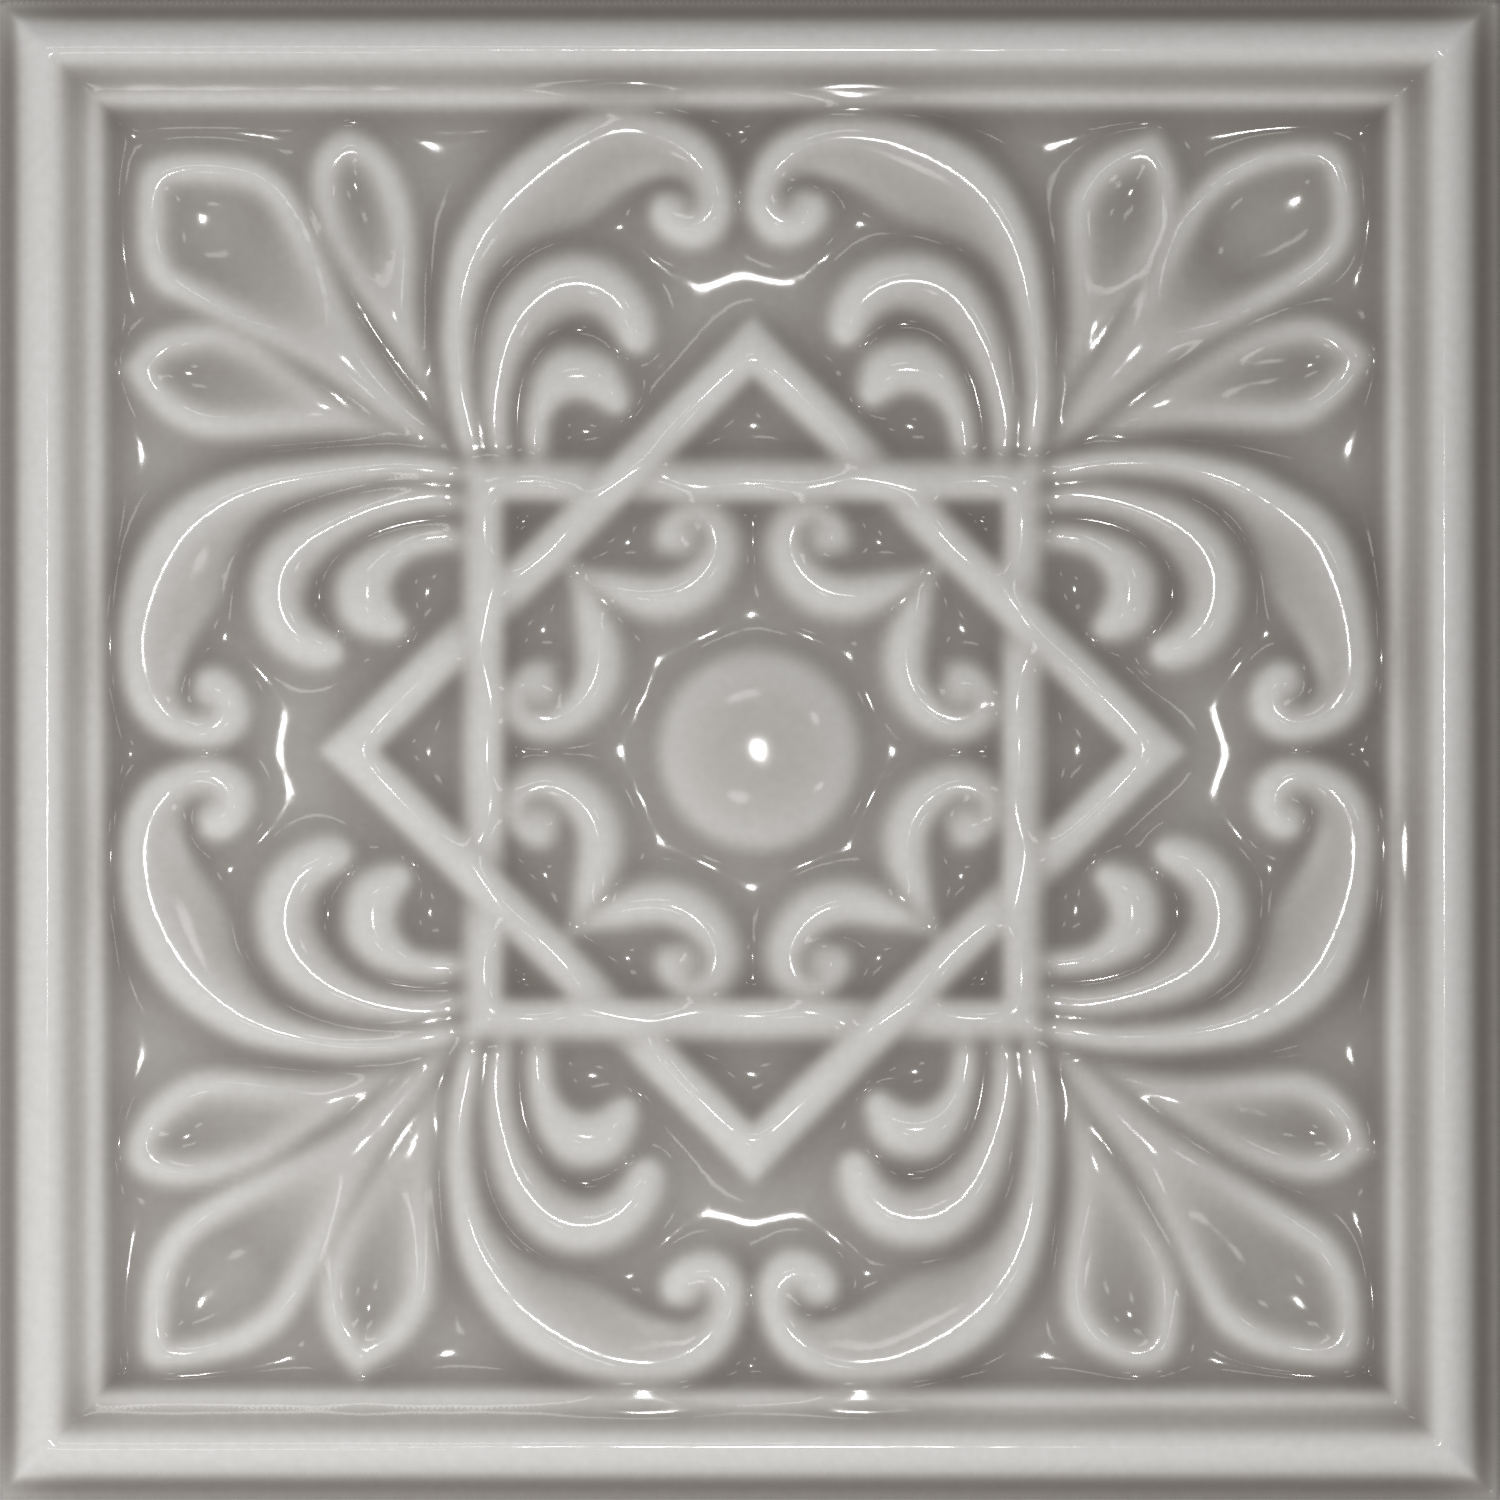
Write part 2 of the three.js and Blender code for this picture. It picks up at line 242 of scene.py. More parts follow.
def squares(px, py):
    """Both bands. The diamond is the upright band's twin, turned by 45 degrees."""
    root = math.sqrt(2)
    upright = band(px, py, upright_reach, diamond_reach * root - upright_reach, upright_skew)
    turned_x, turned_y = (px + py) / root, (py - px) / root
    diamond = band(turned_x, turned_y, diamond_reach, upright_reach * root - diamond_reach)
    return np.maximum(upright, diamond)


ornament = squares(x - centre[0], y - centre[1])
print("squares:", 2 * upright_reach, "and", 2 * diamond_reach, "mm across")

# %% [markdown]
# ## The boss
# A shallow round button: a rounded shoulder, then a crown that is almost flat. It was struck a little
# to the right of the squares' middle. The crown mirrors the lamps as clear little pictures of
# themselves.

# %% Raise the boss
boss_x = 0.9
boss_radius = 10.9
boss_edge = 2.0
boss_rise = 1.3
crown_rise = 0.6
boss_away = np.hypot(x - boss_x, y) / boss_radius
boss_dome = np.clip(1 - boss_away**2, 0, 1)
boss = boss_rise * shoulder((1 - boss_away) * boss_radius / boss_edge) + crown_rise * boss_dome
np.maximum(ornament, boss, out=ornament)
print("boss:", 2 * boss_radius, "mm across,", round(boss.max(), 2), "mm high")

# %% [markdown]
# ## From the drawing to the tile
# The scrolls are drawn once, in the top right quarter, with the middle of the squares as their zero.
# Each quarter of the tile then gets a mirror image of them, and each scroll its twin across the
# quarter's diagonal. But the die was cut by hand, so no two quarters are quite alike. A few pulls carry
# that: each moves the drawing near one place by a millimetre or so, and fades out with distance.
# Where a form runs up to the upright band it dives, so that a narrow groove parts the two, and so do
# the two small scrolls that meet on the diagonal inside the squares.

# %% Place the drawing
ways = {"top left": (-1, 1), "top right": (1, 1), "bottom left": (-1, -1), "bottom right": (1, -1)}
pulls = {
    ("top left", False): [
        ((5, 55), (1.4, 0.2), 12), ((29, 46), (1.1, -0.2), 11), ((13, 38), (1.1, -0.6), 9),
        ((17, 62), (-0.5, 0.9), 7),
    ],
    ("top right", False): [
        ((4, 55), (-1.7, 0.5), 9), ((27, 46), (-0.7, 0), 12), ((10, 40), (-0.9, 0.2), 10),
    ],
    ("bottom left", False): [
        ((17, 50), (0.4, 0.5), 9), ((14, 39), (0.3, 0.8), 9), ((29, 42), (0.6, 0), 9),
    ],
    ("bottom right", False): [((6, 54), (-0.6, 0), 8), ((26, 46), (-0.3, 0), 12)],
    ("top left", True): [
        ((6, 55), (-0.8, 0.3), 10), ((29, 46), (-1.1, 0), 10), ((14, 42), (-0.4, 1), 9),
        ((7, 21), (-1.2, 0), 5),
    ],
    ("top right", True): [
        ((15, 62), (0, -1.6), 11), ((27, 53), (-0.9, -0.6), 7), ((13, 43), (-0.7, -0.5), 9),
        ((7, 21), (-1.2, -0.6), 5),
    ],
    ("bottom left", True): [((29, 43), (0.6, 0), 10), ((22, 36), (0.5, 0.1), 8)],
    ("bottom right", True): [((14, 62), (0, -1.1), 11)],
}


def carry(points, quarter, twin, pulled=True):
    """Take drawn points to one quarter of the tile, or to the twin across its diagonal."""
    points = np.array(points, float)
    moved = points.copy()
    for at, shift, reach in pulls[quarter, twin] if pulled else ():
        away = ((points - at) ** 2).sum(axis=-1, keepdims=True) / reach**2
        moved += np.array(shift) * np.exp(-away)
    if twin:
        moved = moved[..., ::-1]
    return moved * ways[quarter] + centre


groove_place = 2.3
groove_width = 1.0
groove_share = 0.38
parting_width = 0.8
parting_share = 0.5
off_x, off_y = np.abs(x - centre[0]), np.abs(y - centre[1])
from_square = np.maximum(off_x, off_y) - upright_reach
dive = 1 - groove_share * np.exp(-(((from_square - groove_place) / groove_width) ** 2))
parting = parting_share * np.exp(-((off_x - off_y) ** 2) / (2 * parting_width**2))
dive *= 1 - parting * (from_square < 0)


def press(form, outline, margin=1.3):
    """Work out a form only on the nodes round its outline, and press it into the ornament."""
    low = np.floor((np.min(outline, axis=0) - margin + half_side) / step).astype(int)
    high = np.ceil((np.max(outline, axis=0) + margin + half_side) / step).astype(int)
    part = (slice(max(low[1], 0), high[1] + 1), slice(max(low[0], 0), high[0] + 1))
    np.maximum(ornament[part], form(x[part], y[part]) * dive[part], out=ornament[part])


print("the grooves leave", round(dive.min(), 2), "of a form's height")

# %% [markdown]
# ## Leaves
# Each corner holds a palmette of three hollow leaves. The rim stands a constant distance inside the
# outline, and the hollow deepens from the root to the head. The heads differ from corner to corner,
# some round, some pointed and one almost square, so each leaf has an outline of its own, drawn round
# from its root.

# %% Draw the leaves
corner_leaves = {
    "top left": [
        (29.8, 29.8), (33.6, 34.4), (38.9, 42.3), (44.6, 53.4), (46.9, 57), (50, 58.9), (54.5, 59.5),
        (58.6, 59.3), (61, 57.9), (61.5, 53.5), (61.2, 49.2), (59.6, 46.2), (56, 44.2), (45.6, 38.5),
        (38.1, 33.5), (33.5, 30.6),
    ],
    "top right": [
        (29.2, 29.8), (31.5, 35.2), (36.8, 43.9), (41.7, 52.3), (44, 55.8), (46.8, 58.3), (50.5, 60),
        (55, 60.8), (58.6, 60.2), (59.8, 57), (60.1, 53), (59, 49.6), (55.6, 46.6), (44.5, 39.9),
        (37.8, 35.2), (32.5, 31.2),
    ],
    "bottom left": [
        (29.6, 29.4), (32, 34), (38, 42.6), (44.2, 53.5), (47, 57.6), (50.8, 60.2), (56, 61.5),
        (60.6, 61.4), (61, 57), (60.4, 52), (58.3, 48), (54.3, 44.8), (42.6, 38.2), (37.7, 34.4),
        (33, 30.5),
    ],
    "bottom right": [
        (29.6, 29.6), (32, 34.2), (38.6, 43.8), (43.7, 53.2), (46.2, 57.4), (50.2, 60.2), (55.5, 61.5),
        (60.2, 61.2), (60.9, 57), (60.3, 52.6), (57.8, 48.4), (53, 45.2), (41.6, 37.4), (36.8, 33.8),
        (33, 30.8),
    ],
}
side_leaves = {
    ("top left", False): [
        (31, 32.5), (33.3, 43), (33.5, 49.3), (34.2, 54.5), (36.2, 59.2), (39.2, 61.6), (41.6, 61.7),
        (43.7, 59.3), (44.1, 56), (43, 51.4), (40.4, 46.2), (36.8, 41), (33.6, 36.2),
    ],
    ("top left", True): [
        (31, 33.5), (31.4, 43), (31.1, 53), (32.4, 57.6), (35, 60.8), (38.2, 63), (41.2, 60.4),
        (42.6, 56.4), (42.4, 52.6), (40.4, 48.3), (37.3, 44), (34.4, 39.6), (32, 35.6),
    ],
    ("top right", False): [
        (29.8, 32.7), (31.3, 43), (31.2, 53), (32.4, 56.8), (35.3, 59.8), (40.4, 62), (41.9, 59.2),
        (42.6, 56), (42, 51.6), (39.8, 47.6), (36.2, 42.4), (33, 37.5),
    ],
    ("top right", True): [
        (30.8, 33.5), (32, 43.5), (32.2, 54), (34.3, 58.2), (37.2, 60.8), (39.8, 61.6), (42, 59.3),
        (43.3, 56), (42.8, 52), (41, 47.2), (38.2, 42.4), (35, 37.6), (32.6, 34.8),
    ],
    ("bottom left", False): [
        (30.6, 33.1), (31.7, 43), (31.8, 53.4), (33, 56.8), (35.3, 59.8), (39.6, 62.8), (42, 59.4),
        (43.3, 55.8), (43, 51.6), (40.9, 46.6), (37.8, 41.4), (34.2, 36.4), (32, 33.5),
    ],
    ("bottom left", True): [
        (31, 33), (32.5, 43), (32, 53.5), (33.2, 57.5), (36.2, 61), (39.8, 62.6), (42.3, 61.6),
        (43.5, 58), (43.1, 53.5), (41.4, 48.4), (39, 44.5), (36, 39.8), (33, 35.4),
    ],
    ("bottom right", False): [
        (30.6, 33.1), (31.6, 43), (30.9, 54), (32.4, 58.6), (35.6, 61.1), (39.2, 62), (41.9, 60.6),
        (42.8, 56.5), (42.3, 51.8), (39.7, 46.2), (36.4, 41), (33.6, 36.6), (31.7, 33.5),
    ],
    ("bottom right", True): [
        (31, 33.5), (32.4, 43.5), (32.1, 53.5), (33.4, 57.6), (36.2, 60.4), (40.3, 61.9), (42.5, 58.6),
        (43, 55), (42, 50.8), (40.1, 46.4), (37.5, 42.2), (34.8, 38), (32.6, 35),
    ],
}
print("leaves:", len(corner_leaves) + len(side_leaves))

# %% Carve the leaves
foot = 0.8
leaf_rim = 2.4
root_rise = 0.8
root_length = 0.5
hollow_inset = 0.3
hollow_run = 4.0
tip_point = 5
pointed = {("top left", True), ("top right", False), ("bottom left", False), ("bottom right", True)}
spoon_depth = {"top left": 2.4, "top right": 3.5, "bottom left": 2.7, "bottom right": 2.0}
corner_leaf = dict(root=(29, 29), head=(60, 59.5), rise=2.3, dish_from=0.34, dish_to=0.78)
side_leaf = dict(root=(29, 31), head=(39.5, 62), rise=2.15, dish_from=0.15, dish_to=0.95, dish=2.1)


def leaf(px, py, outline, root, head, rise, dish_from, dish_to, dish):
    """A tongue with a rim all round. The foot of its slope lies just outside the outline."""
    within = inside(px, py, outline)
    deep = distance(px, py, outline, closed=True) * np.where(within, 1, -1)
    way = head - root
    along = ((px - root[0]) * way[0] + (py - root[1]) * way[1]) / (way @ way)
    stand = rise * (root_rise + (1 - root_rise) * ease(along / root_length))
    hollow = dish * ease((along - dish_from) / (dish_to - dish_from))
    hollow = hollow * ease((deep - hollow_inset) / hollow_run)
    return stand * shoulder((deep + foot) / leaf_rim) - hollow


def carve_leaf(points, quarter, twin, root, head, **section):
    corners = (0, tip_point) if (quarter, twin) in pointed else (0,)
    points = carry(points, quarter, twin, pulled=False)
    outline = curve(points, steps=4, closed=True, corners=corners)
    root, head = carry([root, head], quarter, twin, pulled=False)
    press(lambda px, py: leaf(px, py, outline, root, head, **section), outline)


for quarter, points in corner_leaves.items():
    carve_leaf(points, quarter, False, dish=spoon_depth[quarter], **corner_leaf)
for (quarter, twin), points in side_leaves.items():
    carve_leaf(points, quarter, twin, **side_leaf)
print("leaves carved, highest", round(ornament.max(), 2), "mm above the ground")

# %% [markdown]
# ## Scrolls
# A scroll is a ribbon between two curves, its back and its belly line. The crest runs a fixed distance
# inside the back, the belly falls steadily towards the other curve, and then a rounded wall drops into
# the pit. A small eye, half a ball, closes the spiral. Three scrolls of falling size lean on each side
# of a palmette, and one small one stands inside the squares.

# %% Draw the scrolls
scrolls = {
    "large": dict(
        back=[
            (28.3, 26.5), (29.9, 34), (30.3, 38), (30.3, 42), (29.3, 49.5), (27.4, 54.2), (24.7, 58),
            (21.2, 60.8), (17, 62.6), (12.5, 63.4), (8, 63.2), (4.8, 62.1), (2.6, 60.2), (1.3, 57.8),
            (0.7, 55.2), (0.9, 52.9), (2.2, 50.9), (4.2, 50), (6.6, 50.4), (8.4, 51.9), (9, 53.6),
            (8.4, 55.2),
        ],
        belly=[
            (26.6, 26.5), (27.6, 35), (27.4, 39), (26.9, 43), (25.8, 46.7), (23.6, 49.6), (20.3, 51.5),
            (16.8, 52.6), (14.3, 54), (12.3, 55.4), (10.3, 56.5), (8.4, 57.1), (6.6, 57.2),
            (5.2, 56.4), (4.6, 55.2), (4.8, 54), (5.6, 53.4), (6.4, 53.6),
        ],
        crest=2.3, rise=2.5, sag=0.7, wall=1.4,
    ),
    "middle": dict(
        back=[
            (25.6, 26.5), (26.6, 34), (26.5, 37), (26.1, 40.5), (25, 44), (23, 47.2), (20.3, 49.2),
            (17.5, 49.9), (14.8, 49.7), (12.3, 48.7), (10.2, 46.8), (8.9, 44.5), (8.6, 42.3),
            (9.2, 40.8), (10.2, 40.3),
        ],
        belly=[
            (23.4, 26.5), (24.1, 31), (23.9, 34), (23.2, 36.8), (22.2, 39.2), (20.6, 41.4),
            (18.6, 43.1), (16.4, 43.9), (14.4, 43.6), (13, 42.6), (12, 41.4), (11.2, 40.6),
        ],
        crest=2.8, rise=2.3, sag=0.5, wall=1.6,
    ),
    "small": dict(
        back=[
            (21.8, 26.5), (22.6, 29.4), (22.3, 34), (21.6, 37), (20.3, 39.3), (18.4, 40.8),
            (16.2, 41.1), (14, 40.6), (12.3, 39.3), (11.4, 37.4), (11.3, 35.7), (11.9, 34.6),
        ],
        belly=[
            (19.2, 26.5), (20.1, 29.4), (19.8, 32.8), (18.9, 34.4), (17.5, 35.4), (16, 35.6),
            (14.7, 35.2), (13.6, 34.6), (12.7, 34.3),
        ],
        crest=2.4, rise=2.2, sag=0.08, wall=1.8,
    ),
    "inner": dict(
        back=[
            (18.6, 18.2), (15.5, 14.9), (13.5, 13.7), (11, 12.9), (8.5, 12.8), (6, 13.4), (3.8, 14.8),
            (2, 17), (1, 19.5), (1, 21.7), (1.9, 23.6), (3.8, 24.8), (6, 24.9), (8, 24.2), (9.5, 22.7),
            (9.9, 21), (9.2, 19.6),
        ],
        belly=[
            (18.8, 18.4), (15.5, 17.9), (13.5, 17.8), (11, 17.5), (8.8, 17.5), (6.9, 18.3),
            (5.5, 19.6), (4.9, 21), (5.3, 22.2), (6.3, 22.5), (7.3, 21.9),
        ],
        crest=2.8, rise=2.0, sag=0.15, wall=1.9,
    ),
}
eyes = [((6.9, 53.8), 2.2, 2), ((7.5, 21.4), 2.4, 1.8)]
print("scrolls:", 2 * len(ways) * len(scrolls))

# %% Carve the scrolls
shortest_fall = 3.0
fall_share = 1.8


def scroll(px, py, back, belly, crest, rise, sag, wall):
    """A ribbon that stands highest near its back."""
    within = inside(px, py, np.vstack([back, belly[::-1]]))
    from_back, from_belly = distance(px, py, back), distance(px, py, belly)
    half = (from_back + from_belly) / 2
    beyond_back = ~within & (from_back < from_belly)
    beyond_belly = ~within & ~beyond_back
    from_back = np.where(beyond_back, -from_back, from_back) + foot
    from_belly = np.where(beyond_belly, -from_belly, from_belly) + foot
    crest, wall = np.minimum(crest, half + foot), np.minimum(wall, half + foot)
    section = shoulder(from_back / crest) * shoulder(from_belly / wall)
    fall = np.clip((from_back - crest) / np.maximum(shortest_fall, fall_share * half), 0, 1)
    return rise * section * (1 - sag * fall)


def carve_scroll(back, belly, quarter, twin, **section):
    back, belly = curve(carry(back, quarter, twin)), curve(carry(belly, quarter, twin))
    press(lambda px, py: scroll(px, py, back, belly, **section), np.vstack([back, belly]))


def set_eye(place, radius, rise):
    def ball(px, py):
        away = np.hypot(px - place[0], py - place[1]) / radius
        return rise * np.sqrt(np.clip(1 - away**2, 0, 1))

    press(ball, [place], margin=radius)


for quarter, twin in pulls:
    for spec in scrolls.values():
        carve_scroll(quarter=quarter, twin=twin, **spec)
    for place, radius, rise in eyes:
        set_eye(carry(place, quarter, twin), radius, rise)
clay = frame_relief + ornament
print("relief: clay from", round(clay.min(), 2), "to", round(clay.max(), 2), "mm")

# %% [markdown]
# ## How the glaze lies
# Molten glaze levels itself. Its surface is a much smoothed copy of the clay, swollen a little over the
# boss, with a slight wave that breaks up long highlights. How deep the glaze lies decides how dark it
# looks, because light crosses the grey glass twice. So three maps are kept for the next steps: the
# surface itself, the clay as it shows through the glass (near), and the wide level that the melt tends
# to (wide). Each is a blur of the clay with a reach of its own.

# %% Smooth the maps


def melt(reach):
    """The clay rounded off as far as the reach, with the frame's mitres kept."""
    return moulding(reach) + soften(ornament, reach)


tight_melt = 0.9
loose_melt = 2.1
tight_share = 0.4
last_melt = 0.3
swell = 0.27
surface = tight_share * melt(tight_melt) + (1 - tight_share) * melt(loose_melt)
surface = soften(surface + swell * boss_dome**1.5, last_melt)

wave_height = 0.008
wave_reach = 1.2
wave = soften(np.random.default_rng(7).standard_normal(clay.shape), wave_reach)
surface += wave_height * wave / wave.std()
surface += tile_top - surface.max()

near_reach = 0.5
haze_reach = 1.6
haze_share = 0.15
wide_reach = 3.2
near = (1 - haze_share) * melt(near_reach) + haze_share * melt(haze_reach)
wide = soften(clay, wide_reach)
print("glaze surface from", round(surface.min(), 2), "to", round(surface.max(), 2), "mm")

# %% [markdown]
# ## A mesh that is fine only where it must be
# A grid fine enough for the crests would have a million triangles, and most of them would lie on flat
# ground. So the face is cut into 1.2 mm squares, and a square where the surface or the clay bends much
# is cut in four, twice over. How much bend is too much follows from a budget of triangles, by halving.
# A square beside a finer one is drawn as a fan that meets the neighbour's extra point, so no crack
# opens between the sizes.

# %% Choose where the mesh is fine
coarse = 8
budget = 148000
clay_weight = 0.25
coarse_care = 0.35
halvings = 24
bend = np.zeros_like(surface)
for field, weight in ((surface, 1.0), (near, clay_weight)):
    for axis in (0, 1):
        bend += weight * np.abs(np.gradient(np.gradient(field, axis=axis), axis=axis))


def worst(field, size):
    """The largest value inside each square of the given size."""
    count = (nodes - 1) // size
    return field[:-1, :-1].reshape(count, size, count, size).max(axis=(1, 3))


def spread(mask):
    """A mask grown by one square each way."""
    grown = np.pad(mask, 1)
    across = grown[1:-1, :-2] | grown[1:-1, 1:-1] | grown[1:-1, 2:]
    return across | grown[:-2, 1:-1] | grown[2:, 1:-1]


def plan(limit):
    """Which coarse and middle squares are cut in four, when bends over the limit are."""
    cut_middle = worst(bend, coarse // 2) > limit
    cut_coarse = worst(bend, coarse) > limit * coarse_care
    count = cut_coarse.shape[0]
    cut_coarse |= spread(cut_middle).reshape(count, 2, count, 2).any(axis=(1, 3))
    triangles = 2 * cut_coarse.size + 6 * cut_coarse.sum() + 6 * cut_middle.sum()
    return cut_coarse, cut_middle, triangles


low, high = 0.0, float(bend.max())
for _ in range(halvings):
    limit = (low + high) / 2
    if plan(limit)[2] > budget:
        low = limit
    else:
        high = limit
cut_coarse, cut_middle, expected = plan(high)
print("squares cut once:", int(cut_coarse.sum()), "cut twice:", int(cut_middle.sum()))

# %% Draw the squares and fans
size_of = np.full((nodes - 1, nodes - 1), coarse)
for mask, size in ((cut_coarse, coarse), (cut_middle, coarse // 2)):
    size_of[np.repeat(np.repeat(mask, size, 0), size, 1)] = size // 2


def walk_round(row, column, size):
    """The corners of one square, with a neighbour's extra point wherever that side has one."""
    ring = [(row, column), (row, column + size), (row + size, column + size), (row + size, column)]
    beside = [(row - 1, column), (row, column + size), (row + size, column), (row, column - 1)]
    walk = []
    for here, ahead, (side_row, side_column) in zip(ring, ring[1:] + ring[:1], beside):
        walk.append(here)
        on_board = 0 <= side_row < nodes - 1 and 0 <= side_column < nodes - 1
        if on_board and size_of[side_row, side_column] < size:
            walk.append(((here[0] + ahead[0]) // 2, (here[1] + ahead[1]) // 2))
    return walk


faces = []
for size in (coarse, coarse // 2, coarse // 4):
    rows, columns = np.nonzero(size_of[::size, ::size] == size)
    for row, column in zip(rows * size, columns * size):
        walk = walk_round(row, column, size)
        if len(walk) == 4:
            faces.append(walk)
            continue
        hub = (row + size // 2, column + size // 2)
        for here, ahead in zip(walk, walk[1:] + walk[:1]):
            faces.append([hub, here, ahead])
used = sorted({corner for face in faces for corner in face})
number = {corner: i for i, corner in enumerate(used)}
face_rows, face_columns = np.array(used).T
print("face of the tile:", len(used), "vertices,", len(faces), "faces")

# %% [markdown]
# ## The slab
# The face alone is a sheet. Its border is drawn down the four sides in a few steps and in a little at
# the back's arris, and the back is filled round six key grooves, so that the piece is one closed solid,
# as the real slab is. Each vertex carries its three heights from the maps as attributes, and the sides
# carry heights that leave a thin, even coat.

# %% Build the closed body
slab = bpy.data.meshes.new("slab")
flat = np.column_stack([line[face_columns], line[face_rows], np.full(len(used), ground)])
slab.from_pydata(flat, [], [[number[corner] for corner in face] for face in faces])
bm = bmesh.new()
bm.from_mesh(slab)
bm.verts.ensure_lookup_table()
maps = {"level": surface, "near": near, "wide": wide}
for name, field in maps.items():
    layer = bm.verts.layers.float.new(name)
    for vert, height in zip(bm.verts, field[face_rows, face_columns]):
        vert[layer] = height

back_arris = 0.6
side_steps = [4.6, 3.2, 2.2, 1.6, back_arris, 0.0]
layers = {name: bm.verts.layers.float[name] for name in maps}
border = [edge for edge in bm.edges if edge.is_boundary]
for height in side_steps:
    made = bmesh.ops.extrude_edge_only(bm, edges=border)["geom"]
    border = [item for item in made if isinstance(item, bmesh.types.BMEdge) and item.is_boundary]
    for vert in {vert for edge in border for vert in edge.verts}:
        vert.co.z = vert[layers["level"]] = height
        vert[layers["wide"]] = vert[layers["near"]] = ground
        if height == 0:
            vert.co.x *= 1 - back_arris / half_side
            vert.co.y *= 1 - back_arris / half_side
print("border edges round the back:", len(border))

# %% Sink the key grooves and close the back
key_count = 6
key_width = 9
key_depth = 0.7
key_margin = 11
key_length = tile_side - 2 * key_margin
key_pitch = key_length / key_count


def ring_of_verts(middle, width, length, height):
    corners = [(-width, -length), (width, -length), (width, length), (-width, length)]
    made = [bm.verts.new((middle + cx / 2, cy / 2, height)) for cx, cy in corners]
    for vert in made:
        vert[layers["level"]] = height
        vert[layers["wide"]] = vert[layers["near"]] = ground
    return made


mouths = []
for k in range(key_count):
    middle = (k + 0.5 - key_count / 2) * key_pitch
    mouth = ring_of_verts(middle, key_width, key_length, 0)
    bed = ring_of_verts(middle, key_width - key_depth, key_length - key_depth, key_depth)
    for i in range(4):
        j = (i + 1) % 4
        mouths.append(bm.edges.new((mouth[i], mouth[j])))
        bm.faces.new((mouth[i], mouth[j], bed[j], bed[i]))
    bm.faces.new(bed)
bmesh.ops.triangle_fill(bm, use_beauty=True, edges=[*border, *mouths], normal=(0, 0, -1))
for face in bm.faces:
    face.smooth = True
open_edges = sum(not edge.is_manifold for edge in bm.edges)
bm.to_mesh(slab)
bm.free()
print("slab:", len(slab.polygons), "faces, open edges:", open_edges)

# %% [markdown]
# ## The glaze and the biscuit
# Light goes through the grey glass, off the pale clay and back, so the colour falls off with the
# glaze's depth as a power of e. Blue fades a little faster than red, so deep glaze looks warmer. The
# depth comes from an attribute on the mesh, with a fine mottle in it; that attribute also carries a
# painted shade that darkens the top right. The bare back and the foot of the sides are biscuit: the
# same clay, fired but dry, pale, rough and faintly grained.

# %% Mix the materials


def node(tree, kind, **settings):
    made = tree.nodes.new(kind)
    for name, value in settings.items():
        setattr(made, name, value)
    return made


def math_node(tree, operation, first, second):
    """A math node fed by a socket and by a socket or a number."""
    made = node(tree, "ShaderNodeMath", operation=operation)
    tree.links.new(first, made.inputs[0])
    if isinstance(second, (int, float)):
        made.inputs[1].default_value = second
    else:
        tree.links.new(second, made.inputs[1])
    return made.outputs[0]


def grain(tree, scale, detail):
    """Noise in the object's own metres."""
    place = node(tree, "ShaderNodeTexCoord")
    noise = node(tree, "ShaderNodeTexNoise")
    noise.inputs["Scale"].default_value = scale
    noise.inputs["Detail"].default_value = detail
    tree.links.new(place.outputs["Object"], noise.inputs["Vector"])
    return noise.outputs[0]


clay_share = (0.694, 0.683, 0.667)
fade_reach = (1.41, 1.32, 1.235)
mottle = 0.2


def glaze_material():
    made = bpy.data.materials.new("grey_glaze")
    made.use_nodes = True
    tree = made.node_tree
    shader = tree.nodes["Principled BSDF"]
    # The depth attribute is the glaze's real depth plus painted shade towards the top right.
    pool = node(tree, "ShaderNodeAttribute", attribute_name="glaze_depth_and_painted_shade").outputs["Fac"]
    speck = math_node(tree, "SUBTRACT", grain(tree, scale=900, detail=4), 0.5)
    deep = math_node(tree, "ADD", pool, math_node(tree, "MULTIPLY", speck, mottle))
    colour = node(tree, "ShaderNodeCombineColor")
    for channel, (share, reach) in enumerate(zip(clay_share, fade_reach)):
        power = node(tree, "ShaderNodeMath", operation="EXPONENT")
        tree.links.new(math_node(tree, "MULTIPLY", deep, -1 / reach), power.inputs[0])
        tree.links.new(math_node(tree, "MULTIPLY", power.outputs[0], share), colour.inputs[channel])
    tree.links.new(colour.outputs[0], shader.inputs["Base Color"])
    shader.inputs["Roughness"].default_value = 0.08
    shader.inputs["IOR"].default_value = 1.5
    return made


def biscuit_material():
    made = bpy.data.materials.new("fired_biscuit")
    made.use_nodes = True
    tree = made.node_tree
    shader = tree.nodes["Principled BSDF"]
    tint = node(tree, "ShaderNodeMix", data_type="RGBA")
    tint.inputs["A"].default_value = (0.60, 0.52, 0.43, 1)
    tint.inputs["B"].default_value = (0.70, 0.63, 0.54, 1)
    tree.links.new(grain(tree, scale=500, detail=6), tint.inputs["Factor"])
    tree.links.new(tint.outputs["Result"], shader.inputs["Base Color"])
    bump = node(tree, "ShaderNodeBump")
    bump.inputs["Distance"].default_value = 0.0001
    bump.inputs["Strength"].default_value = 0.4
    tree.links.new(grain(tree, scale=2500, detail=3), bump.inputs["Height"])
    tree.links.new(bump.outputs[0], shader.inputs["Normal"])
    shader.inputs["Roughness"].default_value = 0.85
    return made


glaze = glaze_material()
biscuit = biscuit_material()
print("materials:", glaze.name, "and", biscuit.name)

